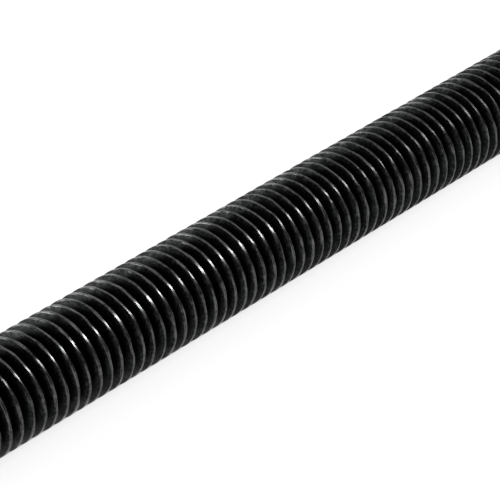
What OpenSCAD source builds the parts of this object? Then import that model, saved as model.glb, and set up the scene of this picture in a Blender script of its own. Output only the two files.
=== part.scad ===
// Jack screw: a cut length of black steel rod, threaded from end to end with a
// right-hand metric M12 x 1.75 thread. It lies along X, its axis is the X axis,
// and its near end face is centred on the origin. Sizes are in millimetres.

/* [Thread] */
// Diameter over the thread crests
major_d = 12; // [10:0.5:16]
// Distance along the rod from one crest to the next
pitch = 1.75; // [1.5:0.05:2.5]

/* [Rod] */
// Length from end face to end face
rod_length = 110; // [60:1:130]
// Length of the 45 degree chamfer at each end
chamfer = 1.3; // [1.1:0.1:2]

/* [Facets] */
// Flat facets that make up one turn of the thread
facets = 20; // [12:4:24]

/* [Hidden] */

// Metric thread form: crest flat, depth and flank slope follow from the pitch
flank_angle = 30;
crest_flat = pitch/8;
thread_depth = pitch*17/24*sqrt(3)/2;
flank_run = thread_depth*tan(flank_angle);
root_flat = pitch - crest_flat - 2*flank_run;

major_r = major_d/2;
root_r = major_r - thread_depth;

// Profile corners of one turn as [place along the rod, radius]
profile = [
  [0, major_r],
  [crest_flat, major_r],
  [crest_flat + flank_run, root_r],
  [crest_flat + flank_run + root_flat, root_r]
];
corners = len(profile);

// The helix starts before the rod and ends after it, and the blank trims it
spare_turns = 1;
turns = ceil(rod_length/pitch) + 2*spare_turns;
last = corners*turns;

// Facets touch the true circle from outside, so the rod rests at its full radius
facet_step = 360/facets;
facet_reach = 1/cos(facet_step/2);
// How far the blank stands clear of the crests
trim = 1;

// Corner m along column c. Columns stand half a facet off the bottom, which puts
// a flat facet underneath, and each is a part of the pitch ahead of the last.
function corner(c, m) =
  let (
    spot = profile[m % corners],
    along = pitch*(floor(m/corners) - spare_turns + c/facets) + spot[0],
    r = spot[1]*facet_reach,
    a = facet_step*(c + 0.5)
  )
  [along, r*sin(a), -r*cos(a)];

// Place of a corner in the point list. One turn on, column 0 takes over.
function id(c, m) = c < facets ? c*(last + 1) + m : m + corners;

// The thread and its core as one closed helical solid, longer than the rod
module endless_thread() {
  grid = [for (c = [0 : facets - 1]) for (m = [0 : last]) corner(c, m)];
  tips = [[-(spare_turns + 1)*pitch, 0, 0], [(turns + 1)*pitch, 0, 0]];
  near_tip = len(grid);
  far_tip = near_tip + 1;
  far = last - corners;
  skin = [
    for (c = [0 : facets - 1])
      for (m = [0 : far - 1])
        each [
          [id(c, m), id(c, m + 1), id(c + 1, m + 1)],
          [id(c, m), id(c + 1, m + 1), id(c + 1, m)]
        ]
  ];
  near_cap = [
    for (c = [0 : facets - 1]) [near_tip, id(c, 0), id(c + 1, 0)],
    for (m = [0 : corners - 1]) [near_tip, id(0, m + 1), id(0, m)]
  ];
  far_cap = [
    for (c = [0 : facets - 1]) [far_tip, id(c + 1, far), id(c, far)],
    for (m = [far : last - 1]) [far_tip, id(0, m), id(0, m + 1)]
  ];
  polyhedron(points = concat(grid, tips), faces = concat(skin, near_cap, far_cap));
}

// Room for the rod: flat ends, each with a chamfer that runs out past the crests.
// It has the thread's own facets, so chamfer and thread meet facet to facet.
module chamfered_blank() {
  face_r = (major_r - chamfer)*facet_reach;
  wide_r = (major_r + trim)*facet_reach;
  run = chamfer + trim;
  rotate([0, 90, 0])
    rotate(facet_step/2)
      hull() {
        cylinder(h = rod_length, r = face_r, $fn = facets);
        translate([0, 0, run])
          cylinder(h = rod_length - 2*run, r = wide_r, $fn = facets);
      }
}

module jack_screw() {
  color("#1b1c1d")
    intersection() {
      endless_thread();
      chamfered_blank();
    }
}

jack_screw();
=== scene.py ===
# A cut length of black threaded rod, a jack screw, lying on a pale floor.
import math

import bmesh
import bpy
import numpy as np
from mathutils import Matrix, Vector

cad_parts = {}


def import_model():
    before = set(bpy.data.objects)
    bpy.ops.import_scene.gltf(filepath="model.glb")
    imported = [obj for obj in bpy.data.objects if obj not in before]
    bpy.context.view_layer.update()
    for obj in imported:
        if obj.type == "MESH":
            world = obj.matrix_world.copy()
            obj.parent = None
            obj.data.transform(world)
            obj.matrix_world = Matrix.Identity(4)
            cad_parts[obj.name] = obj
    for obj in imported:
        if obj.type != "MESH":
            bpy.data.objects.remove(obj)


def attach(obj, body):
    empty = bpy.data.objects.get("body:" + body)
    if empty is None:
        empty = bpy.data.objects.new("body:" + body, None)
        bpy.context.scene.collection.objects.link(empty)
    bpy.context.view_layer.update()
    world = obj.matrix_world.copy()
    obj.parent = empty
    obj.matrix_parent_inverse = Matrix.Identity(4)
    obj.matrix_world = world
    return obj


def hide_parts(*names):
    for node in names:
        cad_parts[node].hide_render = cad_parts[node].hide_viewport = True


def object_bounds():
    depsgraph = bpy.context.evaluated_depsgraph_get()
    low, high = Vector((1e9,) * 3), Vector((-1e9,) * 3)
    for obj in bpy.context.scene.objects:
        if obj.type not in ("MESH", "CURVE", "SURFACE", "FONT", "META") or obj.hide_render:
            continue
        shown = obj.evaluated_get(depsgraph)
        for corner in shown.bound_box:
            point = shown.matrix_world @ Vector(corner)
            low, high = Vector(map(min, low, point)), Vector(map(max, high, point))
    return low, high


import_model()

cad_low, cad_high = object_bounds()

MM = 0.001

# The thread's real sizes, in metres. The crest is a little wider than the solid's, from rolling.
PITCH = 1.75 * MM
FLANK_ANGLE = math.radians(30)
CREST_FLAT = PITCH / 5.6
CREST_MIDDLE = PITCH / 16
THREAD_DEPTH = PITCH * 17 / 24 * math.sqrt(3) / 2
FLANK_RUN = THREAD_DEPTH * math.tan(FLANK_ANGLE)
ROOT_FLAT = PITCH - CREST_FLAT - 2 * FLANK_RUN
CREST_ROUND = 0.07 * MM
ROOT_ROUND = ROOT_FLAT / 2 / math.tan(FLANK_ANGLE)
CHAMFER = 1.3 * MM
EDGE_BREAK = 0.12 * MM

# The rod, worked out from the frame
LENGTH = cad_high.x - cad_low.x
FLOOR_Z = cad_low.z
MAJOR_R = (cad_high.z - cad_low.z) / 2
ROOT_R = MAJOR_R - THREAD_DEPTH

# How finely the helix is cut
AROUND = 136
CREST_STEPS = 2
ROOT_STEPS = 2
LATHE_AROUND = 128

# How uneven the rolled thread is, in metres
CREST_DIP = 0.008 * MM
CREST_DRIFT = 0.038 * MM
CREST_SPREAD = 0.026 * MM
ROOT_DRIFT = 0.025 * MM
NICKS = 34
NICK_DEPTH = 0.07 * MM
# Where along the rod the one dent lies that the photograph shows, and how deep and wide it is
DENT_X = 60.598 * MM
DENT_DEPTH = 0.08 * MM
DENT_WIDTH = 0.25 * MM

# How the black oxide reflects, from the depth of the grooves to the edge worn bright. Deep in the grooves
# the colour is partly the oxide and partly painted shade
GROOVE_OXIDE_AND_SHADE = (0.006, 0.0064, 0.0063, 1)
GROOVE_RUBBED = (0.031, 0.034, 0.0327, 1)
CREST_DARK = (0.0275, 0.0293, 0.0284, 1)
CREST_WORN = (0.106, 0.108, 0.106, 1)
TURNED_DARK = (0.018, 0.0187, 0.0185, 1)
TURNED_BRIGHT = (0.075, 0.077, 0.075, 1)
EDGE_WORN = (0.16, 0.162, 0.158, 1)

# Where the camera stands, read off the photograph
IMAGE_SIDE = 500
SENSOR = 36.0
FOCAL_PX = 2647.3
TILT = math.radians(39.857)
SLANT = math.radians(30.482)
DISTANCE = 319.88 * MM
OFF_LINE_PX = 1.59
AIM_X = 50.70 * MM

# Each lamp's direction from the screw, its width and height in degrees, and its brightness
KEY = ((0.579, -0.437, 0.689), 6.7, 12, 41.0)
KEY_FAR = ((0.670, -0.397, 0.627), 5, 12, 4.5)
BACK_LEFT = ((-0.61, 0.77, 0.17), 24, 20, 6.0)
BACK_RIGHT = ((0.64, 0.75, 0.15), 34, 14, 0.6)
LAMP_DISTANCE = 1.0

# How bright the world is at its darkest and straight above
SKY_LOW = 0.15
SKY_HIGH = 1.18

# How bright the floor's colour is, and how much of what the camera sees there is plain white
FLOOR_SIDE = 20.0
FLOOR_COLOUR = 0.9
FLOOR_SEEN = 0.22
FLOOR_GLOW = 0.85
# How far from the line of contact the floor's painted shadow reaches, fully and at all
PAINTED_SHADOW_HALF = 2.05 * MM
PAINTED_SHADOW_REACH = 2.6 * MM
# How far off the floor shows painted shade in the screw's reflections, fully and at all, and how bright
# its glow is there at its dimmest
PAINTED_MIRROR_SHADE_HALF = 5.0 * MM
PAINTED_MIRROR_SHADE_REACH = 15.0 * MM
PAINTED_MIRROR_SHADE_GLOW = 0.7


def fillet(points, radii, steps):
    """The closed profile's corners, each rounded by an arc, as a list of (x, r) points."""
    out = []
    count = len(points)
    for i in range(count):
        before = Vector(points[i - 1]) if i else Vector(points[-1]) - Vector((PITCH, 0))
        here = Vector(points[i])
        after = Vector(points[i + 1]) if i + 1 < count else Vector(points[0]) + Vector((PITCH, 0))
        back, on = (before - here).normalized(), (after - here).normalized()
        half = math.acos(max(-1, min(1, back.dot(on)))) / 2
        reach = radii[i] / math.tan(half)
        centre = here + (back + on).normalized() * (radii[i] / math.sin(half))
        start, end = here + back * reach, here + on * reach
        a0 = math.atan2(start.y - centre.y, start.x - centre.x)
        a1 = math.atan2(end.y - centre.y, end.x - centre.x)
        turn = (a1 - a0 + math.pi) % (2 * math.pi) - math.pi
        for k in range(steps[i] + 1):
            a = a0 + turn * k / steps[i]
            out.append((centre.x + radii[i] * math.cos(a), centre.y + radii[i] * math.sin(a)))
    return out


def thread_profile():
    """One pitch of the thread's outline, rounded at crest and root, with no two points in one place."""
    start = CREST_MIDDLE - CREST_FLAT / 2
    end = CREST_MIDDLE + CREST_FLAT / 2
    corners = [
        (start, MAJOR_R),
        (end, MAJOR_R),
        (end + FLANK_RUN, ROOT_R),
        (end + FLANK_RUN + ROOT_FLAT, ROOT_R),
    ]
    radii = [CREST_ROUND, CREST_ROUND, ROOT_ROUND, ROOT_ROUND]
    steps = [CREST_STEPS, CREST_STEPS, ROOT_STEPS, ROOT_STEPS]
    rounded = fillet(corners, radii, steps)
    after = rounded[1:] + [(rounded[0][0] + PITCH, rounded[0][1])]
    return [here for here, on in zip(rounded, after) if math.dist(here, on) > PITCH / 500]


def wander(count, length, size, seed):
    """Smooth random values for each column of the helix, in bumps of about that length."""
    rng = np.random.default_rng(seed)
    length = round(length / (2 * math.pi * MAJOR_R / AROUND))
    values = np.convolve(rng.normal(size=count + 2 * length), np.hanning(2 * length + 1), "valid")
    return values * size / values.std()


def crest_dips(count):
    """How far the crest lies in from its full radius along the helix, with small nicks."""
    dips = np.abs(wander(count, 2.4 * MM, CREST_DIP, 11))
    dips += np.abs(wander(count, 14 * MM, CREST_DIP / 2, 12))
    rng = np.random.default_rng(13)
    along = np.arange(count)
    for _ in range(NICKS):
        middle, width = rng.uniform(0, count), rng.uniform(0.6, 1.4)
        dips += rng.uniform(0.4, 1) * NICK_DEPTH * np.exp(-(((along - middle) / width) ** 2))
    dent = (along - AROUND * (DENT_X / PITCH + 1)) * 2 * math.pi * MAJOR_R / AROUND
    return dips + DENT_DEPTH * np.exp(-((dent / DENT_WIDTH) ** 2))


def endless_thread():
    """The helical thread with its core, a little longer than the rod, as a closed mesh."""
    profile = np.array(thread_profile())
    per_turn = len(profile)
    turns = math.ceil(LENGTH / PITCH) + 2
    last = per_turn * turns
    column = np.arange(AROUND)[:, None]
    m = np.arange(last + 1)[None, :]
    turn = m // per_turn
    home_x, home_r = profile[m % per_turn, 0], profile[m % per_turn, 1]

    # Each point moves with the crest nearest to it, the less the deeper it lies
    off_crest = (home_x - CREST_MIDDLE) / PITCH
    crest = (AROUND * (turn + np.round(off_crest)) + column).astype(int)
    side = np.sign(off_crest - np.round(off_crest))
    root = AROUND * turn + column
    count = crest.max() + 1
    share = (home_r - ROOT_R) / THREAD_DEPTH
    drift = wander(count, 1.3 * MM, CREST_DRIFT, 21)[crest]
    drift = drift + side * wander(count, 1.4 * MM, CREST_SPREAD, 23)[crest]
    drift = drift * share + wander(count, 3 * MM, ROOT_DRIFT, 22)[root] * (1 - share)
    x = PITCH * (turn - 1 + column / AROUND) + home_x + drift
    r = home_r - crest_dips(count)[crest] * share
    angle = 2 * math.pi * column / AROUND
    grid = np.stack([x, r * np.sin(angle), -r * np.cos(angle)], -1).reshape(-1, 3)
    tips = [[-2 * PITCH, 0, 0], [(turns + 1) * PITCH, 0, 0]]
    verts = np.vstack([grid, tips])
    far = last - per_turn

    def place(c, m):
        return c * (last + 1) + m if c < AROUND else m + per_turn

    faces = []
    for c in range(AROUND):
        a, b = place(c, 0), place(c + 1, 0)
        faces += [(a + k, a + k + 1, b + k + 1, b + k) for k in range(far)]
    near_tip, far_tip = len(grid), len(grid) + 1
    faces += [(near_tip, place(c, 0), place(c + 1, 0)) for c in range(AROUND)]
    faces += [(near_tip, place(0, k + 1), place(0, k)) for k in range(per_turn)]
    faces += [(far_tip, place(c + 1, far), place(c, far)) for c in range(AROUND)]
    faces += [(far_tip, place(0, k), place(0, k + 1)) for k in range(far, last)]
    mesh = bpy.data.meshes.new("endless_thread")
    mesh.from_pydata(verts.tolist(), [], faces)
    mesh.update()
    return mesh


def lathe(name, outline):
    """A closed solid turned about the X axis from (x, r) points that start and end on the axis."""
    around = LATHE_AROUND
    bm = bmesh.new()
    rings = []
    for x, r in outline[1:-1]:
        ring = []
        for k in range(around):
            a = 2 * math.pi * k / around
            ring.append(bm.verts.new((x, r * math.sin(a), -r * math.cos(a))))
        rings.append(ring)
    for one, two in zip(rings, rings[1:]):
        for k in range(around):
            n = (k + 1) % around
            bm.faces.new((one[k], two[k], two[n], one[n]))
    first, end = bm.verts.new((outline[0][0], 0, 0)), bm.verts.new((outline[-1][0], 0, 0))
    for k in range(around):
        n = (k + 1) % around
        bm.faces.new((first, rings[0][k], rings[0][n]))
        bm.faces.new((end, rings[-1][n], rings[-1][k]))
    bmesh.ops.recalc_face_normals(bm, faces=bm.faces)
    mesh = bpy.data.meshes.new(name)
    bm.to_mesh(mesh)
    bm.free()
    return mesh


def blank_outline():
    """The blank's outline: flat ends, a broken edge, and a 45 degree chamfer past the crests."""
    face_r = MAJOR_R - CHAMFER
    wide_r = MAJOR_R + 1 * MM
    run = wide_r - face_r
    near = [
        (0, 0),
        (0, face_r - EDGE_BREAK),
        (EDGE_BREAK * 0.25, face_r - EDGE_BREAK * 0.25),
        (EDGE_BREAK, face_r + EDGE_BREAK),
        (run, wide_r),
    ]
    return near + [(LENGTH - x, r) for x, r in reversed(near)]


def link(name, mesh):
    piece = bpy.data.objects.new(name, mesh)
    bpy.context.scene.collection.objects.link(piece)
    return piece


def apply_modifiers(piece):
    """Bakes the piece's modifiers into its mesh."""
    graph = bpy.context.evaluated_depsgraph_get()
    mesh = bpy.data.meshes.new_from_object(piece.evaluated_get(graph))
    piece.modifiers.clear()
    old = piece.data
    piece.data = mesh
    bpy.data.meshes.remove(old)


def screw_body():
    """The threaded rod with its chamfered ends."""
    screw = link("screw_thread", endless_thread())
    blank = link("blank", lathe("blank", blank_outline()))
    cut = screw.modifiers.new("ends", "BOOLEAN")
    cut.operation = "INTERSECT"
    cut.solver = "MANIFOLD"
    cut.object = blank
    apply_modifiers(screw)
    bpy.data.objects.remove(blank)
    screw.data.shade_smooth()
    screw.data.set_sharp_from_angle(angle=math.radians(35))
    screw.data.transform(Matrix.Scale(1 / MM, 4))
    flats = screw.modifiers.new("flats", "WEIGHTED_NORMAL")
    flats.keep_sharp = True
    flats.weight = 70
    apply_modifiers(screw)
    screw.data.transform(Matrix.Scale(MM, 4))
    return screw


def connect(tree, value, socket):
    """Links a socket, or sets a plain value."""
    if isinstance(value, bpy.types.NodeSocket):
        tree.links.new(value, socket)
    else:
        socket.default_value = value


def maths(tree, operation, *values):
    node = tree.nodes.new("ShaderNodeMath")
    node.operation = operation
    for value, socket in zip(values, node.inputs):
        connect(tree, value, socket)
    return node.outputs[0]


def ramp(tree, value, low, high, to_low=0.0, to_high=1.0):
    """A smooth step from one value to another."""
    node = tree.nodes.new("ShaderNodeMapRange")
    node.interpolation_type = "SMOOTHSTEP"
    for name, number in (("From Min", low), ("From Max", high), ("To Min", to_low), ("To Max", to_high)):
        node.inputs[name].default_value = number
    tree.links.new(value, node.inputs["Value"])
    return node.outputs["Result"]


def noise(tree, vector, scale, detail=2.0, rough=0.5):
    node = tree.nodes.new("ShaderNodeTexNoise")
    node.inputs["Scale"].default_value = scale
    node.inputs["Detail"].default_value = detail
    node.inputs["Roughness"].default_value = rough
    tree.links.new(vector, node.inputs["Vector"])
    return node.outputs["Fac"]


def blend(tree, share, one, two):
    """Two colours, mixed."""
    node = tree.nodes.new("ShaderNodeMix")
    node.data_type = "RGBA"
    connect(tree, share, node.inputs["Factor"])
    connect(tree, one, node.inputs[6])
    connect(tree, two, node.inputs[7])
    return node.outputs[2]


def rod_coordinates(tree):
    """Place on the rod in millimetres, place along its axis, radius, and a vector along the helix."""
    where = tree.nodes.new("ShaderNodeTexCoord")
    in_mm = tree.nodes.new("ShaderNodeVectorMath")
    in_mm.operation = "SCALE"
    in_mm.inputs["Scale"].default_value = 1 / MM
    tree.links.new(where.outputs["Object"], in_mm.inputs[0])
    place = in_mm.outputs["Vector"]
    parts = tree.nodes.new("ShaderNodeSeparateXYZ")
    tree.links.new(place, parts.inputs[0])
    x, y, z = parts.outputs
    radius = maths(tree, "SQRT", maths(tree, "MULTIPLY_ADD", y, y, maths(tree, "MULTIPLY", z, z)))
    angle = maths(tree, "ARCTAN2", y, maths(tree, "MULTIPLY", z, -1.0))
    phase = maths(tree, "SUBTRACT", maths(tree, "MULTIPLY", x, 2 * math.pi * MM / PITCH), angle)
    helix = tree.nodes.new("ShaderNodeCombineXYZ")
    across, along = 2.3, 7.0
    tree.links.new(maths(tree, "MULTIPLY", maths(tree, "COSINE", phase), across), helix.inputs[0])
    tree.links.new(maths(tree, "MULTIPLY", maths(tree, "SINE", phase), across), helix.inputs[1])
    tree.links.new(maths(tree, "MULTIPLY", x, along), helix.inputs[2])
    return place, x, radius, helix.outputs[0]


def black_steel():
    """Oiled black oxide: matt in the grooves and darkened deep in them by painted shade, burnished along
    the crests, turned on the ends.
    """
    mat = bpy.data.materials.new("black_oxide_steel")
    mat.use_nodes = True
    tree = mat.node_tree
    bsdf = tree.nodes["Principled BSDF"]
    bsdf.inputs["Metallic"].default_value = 1.0
    place, x, radius, helix = rod_coordinates(tree)

    streaks = noise(tree, helix, 1.0, 3.0, 0.6)
    blotches = noise(tree, place, 0.7, 3.0, 0.55)
    grain = noise(tree, place, 14.0, 2.0, 0.6)
    mottle = noise(tree, place, 2.4, 2.0, 0.6)

    # Where each finish lies: on the crests, on the turned ends, and on the ends' rubbed edge
    uneven = maths(tree, "MULTIPLY_ADD", streaks, 0.5, maths(tree, "SUBTRACT", radius, 0.25))
    crest_r = MAJOR_R / MM
    crest = ramp(tree, uneven, crest_r - 0.13, crest_r - 0.01)
    half = LENGTH / MM / 2
    face_r = (MAJOR_R - CHAMFER) / MM
    from_middle = maths(tree, "ABSOLUTE", maths(tree, "SUBTRACT", x, half))
    face = ramp(tree, from_middle, half - 0.06, half - 0.01)
    off_cone = maths(tree, "SUBTRACT", maths(tree, "ADD", radius, from_middle), half + face_r)
    end = maths(tree, "MAXIMUM", face, ramp(tree, off_cone, -0.05, -0.01))
    off_edge = maths(tree, "SUBTRACT", maths(tree, "MULTIPLY_ADD", streaks, 0.1, radius), face_r + 0.03)
    on_edge = ramp(tree, maths(tree, "ABSOLUTE", off_edge), 0.03, 0.16, 1.0, 0.0)
    edge = maths(tree, "MULTIPLY", on_edge, ramp(tree, from_middle, half - 0.3, half - 0.15))

    # The colours, darkest deep in the grooves, partly the oxide and partly painted shade, and brighter and
    # blotchier towards the crests
    # Painted shade: the groove colour darkens towards the groove bottoms, mixed with rubbed wear on the
    # upper flanks
    rubbed_and_unshaded = ramp(tree, uneven, crest_r - 0.6, crest_r - 0.2)
    rubbed_and_unshaded = maths(tree, "MULTIPLY", rubbed_and_unshaded, ramp(tree, blotches, 0.3, 0.7, 0.5, 1.0))
    rubbed_and_unshaded = maths(tree, "MULTIPLY", rubbed_and_unshaded, ramp(tree, mottle, 0.37, 0.65))
    groove_colour = blend(tree, rubbed_and_unshaded, GROOVE_OXIDE_AND_SHADE, GROOVE_RUBBED)
    worn = maths(tree, "MULTIPLY_ADD", streaks, 0.4, maths(tree, "MULTIPLY", blotches, 0.25))
    worn = maths(tree, "MULTIPLY_ADD", mottle, 0.35, worn)
    crest_colour = blend(tree, ramp(tree, worn, 0.40, 0.60), CREST_DARK, CREST_WORN)
    colour = blend(tree, crest, groove_colour, crest_colour)
    rings_at = tree.nodes.new("ShaderNodeCombineXYZ")
    tree.links.new(radius, rings_at.inputs[0])
    rings = noise(tree, rings_at.outputs[0], 2.2, 5.0, 0.85)
    turned = maths(tree, "MULTIPLY_ADD", rings, 0.7, maths(tree, "MULTIPLY", blotches, 0.3))
    end_colour = blend(tree, ramp(tree, turned, 0.35, 0.65), TURNED_DARK, TURNED_BRIGHT)
    end_colour = blend(tree, edge, end_colour, EDGE_WORN)
    tree.links.new(blend(tree, end, colour, end_colour), bsdf.inputs["Base Color"])

    rough = maths(tree, "MULTIPLY_ADD", crest, -0.14, 0.27)
    rough = maths(tree, "MULTIPLY_ADD", grain, 0.08, rough)
    rough = maths(tree, "MULTIPLY_ADD", blotches, 0.10, rough)
    tree.links.new(rough, bsdf.inputs["Roughness"])

    height = maths(tree, "MULTIPLY_ADD", grain, 0.5, streaks)
    height = maths(tree, "MULTIPLY_ADD", maths(tree, "MULTIPLY", rings, end), 2.0, height)
    bump = tree.nodes.new("ShaderNodeBump")
    bump.inputs["Strength"].default_value = 0.6
    bump.inputs["Distance"].default_value = 0.0015 * MM
    tree.links.new(height, bump.inputs["Height"])
    tree.links.new(bump.outputs["Normal"], bsdf.inputs["Normal"])
    return mat


def glow_outside_painted_shadow(tree, mirrored):
    """How much of the floor's glow is left: none in the painted shadow beside the line of contact, and
    less in the painted shade that the screw's reflections show near it.
    """
    where = tree.nodes.new("ShaderNodeTexCoord")
    parts = tree.nodes.new("ShaderNodeSeparateXYZ")
    tree.links.new(where.outputs["Object"], parts.inputs[0])
    off_line = maths(tree, "ABSOLUTE", parts.outputs["Y"])
    half = LENGTH / 2 - CHAMFER
    from_middle = maths(tree, "ABSOLUTE", maths(tree, "SUBTRACT", parts.outputs["X"], LENGTH / 2))
    past_end = ramp(tree, from_middle, half - CHAMFER, half)
    # Painted shadow: no glow along the line of contact under the screw, except past its ends
    outside_painted_shadow = maths(tree, "MAXIMUM", ramp(tree, off_line, PAINTED_SHADOW_HALF, PAINTED_SHADOW_REACH), past_end)
    # Painted shade: the glow is dimmer near the screw, in reflections only
    near = maths(tree, "MAXIMUM", ramp(tree, off_line, PAINTED_MIRROR_SHADE_HALF, PAINTED_MIRROR_SHADE_REACH, PAINTED_MIRROR_SHADE_GLOW, 1.0), past_end)
    near = maths(tree, "MAXIMUM", near, maths(tree, "SUBTRACT", 1.0, mirrored))
    return maths(tree, "MULTIPLY", outside_painted_shadow, near)


def floor():
    """A plain white floor that keeps a soft shadow, with a painted shadow along the line of contact and
    painted shade near the screw in its reflections.
    """
    mesh = bpy.data.meshes.new("floor")
    side = FLOOR_SIDE
    corners = [(-side, -side), (side, -side), (side, side), (-side, side)]
    mesh.from_pydata([(x, y, FLOOR_Z) for x, y in corners], [], [(0, 1, 2, 3)])
    plane = link("floor", mesh)
    mat = bpy.data.materials.new("pale_floor")
    mat.use_nodes = True
    tree = mat.node_tree
    tree.nodes.remove(tree.nodes["Principled BSDF"])
    rays = tree.nodes.new("ShaderNodeLightPath")
    seen = maths(tree, "MAXIMUM", rays.outputs["Is Camera Ray"], rays.outputs["Is Glossy Ray"])
    seen = maths(tree, "MAXIMUM", seen, rays.outputs["Is Transmission Ray"])
    paint = tree.nodes.new("ShaderNodeBsdfDiffuse")
    full, part = (FLOOR_COLOUR,) * 3 + (1,), (FLOOR_SEEN,) * 3 + (1,)
    tree.links.new(blend(tree, seen, full, part), paint.inputs["Color"])
    glow = tree.nodes.new("ShaderNodeEmission")
    # The floor's glow carries the painted shadow and the painted shade in reflections
    white = maths(tree, "MULTIPLY", glow_outside_painted_shadow(tree, rays.outputs["Is Glossy Ray"]), FLOOR_GLOW)
    tree.links.new(maths(tree, "MULTIPLY", seen, white), glow.inputs["Strength"])
    both = tree.nodes.new("ShaderNodeAddShader")
    tree.links.new(paint.outputs[0], both.inputs[0])
    tree.links.new(glow.outputs[0], both.inputs[1])
    tree.links.new(both.outputs[0], tree.nodes["Material Output"].inputs["Surface"])
    plane.data.materials.append(mat)
    return plane


def camera_axes():
    """The camera's right, up and forward directions for a rod along X that slants up to the right."""
    elevation = math.atan(math.sin(SLANT) / math.tan(TILT))
    turn = -math.acos(math.cos(TILT) * math.cos(SLANT))
    right = Vector((math.cos(turn), math.sin(turn), 0))
    level = Vector((-math.sin(turn), math.cos(turn), 0))
    forward = level * math.cos(elevation) - Vector((0, 0, math.sin(elevation)))
    return right, right.cross(forward), forward


def camera():
    """The photograph's view: the rod runs away from the lower left to the upper right."""
    right, up, forward = camera_axes()
    across = right * math.sin(SLANT) - up * math.cos(SLANT)
    aim = Vector((AIM_X, 0, 0)) + across * (OFF_LINE_PX * DISTANCE / FOCAL_PX)
    data = bpy.data.cameras.new("camera")
    data.sensor_width = SENSOR
    data.lens = FOCAL_PX * SENSOR / IMAGE_SIDE
    data.clip_start = 0.01
    data.clip_end = 100
    cam = link("camera", data)
    cam.matrix_world = Matrix.Translation(aim - forward * DISTANCE) @ Matrix(
        (right, up, -forward)
    ).transposed().to_4x4()
    bpy.context.scene.camera = cam


def softbox(name, direction, wide, tall, radiance):
    """A softbox in a direction from the screw, that many degrees wide along the rod and tall across it."""
    distance = LAMP_DISTANCE
    towards = Vector(direction).normalized()
    along = (Vector((1, 0, 0)) - towards * towards.x).normalized()
    data = bpy.data.lights.new(name, "AREA")
    data.shape = "RECTANGLE"
    data.size = 2 * distance * math.tan(math.radians(wide) / 2)
    data.size_y = 2 * distance * math.tan(math.radians(tall) / 2)
    data.energy = radiance * math.pi * data.size * data.size_y
    lamp = link(name, data)
    turn = Matrix((along, towards.cross(along), towards)).transposed().to_4x4()
    lamp.matrix_world = Matrix.Translation(Vector((LENGTH / 2, 0, 0)) + towards * distance) @ turn
    return lamp


def world():
    """Soft light from above and behind, darker towards the front and the far end, with a white horizon."""
    scene_world = bpy.data.worlds.new("studio")
    bpy.context.scene.world = scene_world
    scene_world.use_nodes = True
    tree = scene_world.node_tree
    background = tree.nodes["Background"]
    background.inputs["Color"].default_value = (1, 1, 1, 1)
    where = tree.nodes.new("ShaderNodeTexCoord")
    dot = tree.nodes.new("ShaderNodeVectorMath")
    dot.operation = "DOT_PRODUCT"
    dot.inputs[1].default_value = (0.35, 0.25, 0.9)
    tree.links.new(where.outputs["Generated"], dot.inputs[0])
    parts = tree.nodes.new("ShaderNodeSeparateXYZ")
    tree.links.new(where.outputs["Generated"], parts.inputs[0])
    overhead = ramp(tree, dot.outputs["Value"], 0.15, 0.9, 0.0, SKY_HIGH - SKY_LOW)
    far_end = ramp(tree, parts.outputs["X"], 0.615, 0.725, 1.0, 0.25)
    overhead = maths(tree, "MULTIPLY_ADD", overhead, far_end, SKY_LOW)
    horizon = ramp(tree, parts.outputs["Z"], 0.025, 0.09, 1.0, 0.0)
    tree.links.new(maths(tree, "MAXIMUM", overhead, horizon), background.inputs["Strength"])


bpy.context.scene.view_settings.view_transform = "Standard"

camera()
floor()
world()
softbox("key", *KEY)
softbox("key_far", *KEY_FAR)
softbox("back_left", *BACK_LEFT)
softbox("back_right", *BACK_RIGHT)

screw = screw_body()
screw.data.materials.clear()
screw.data.materials.append(black_steel())
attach(screw, "root")
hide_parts("jack_screw")
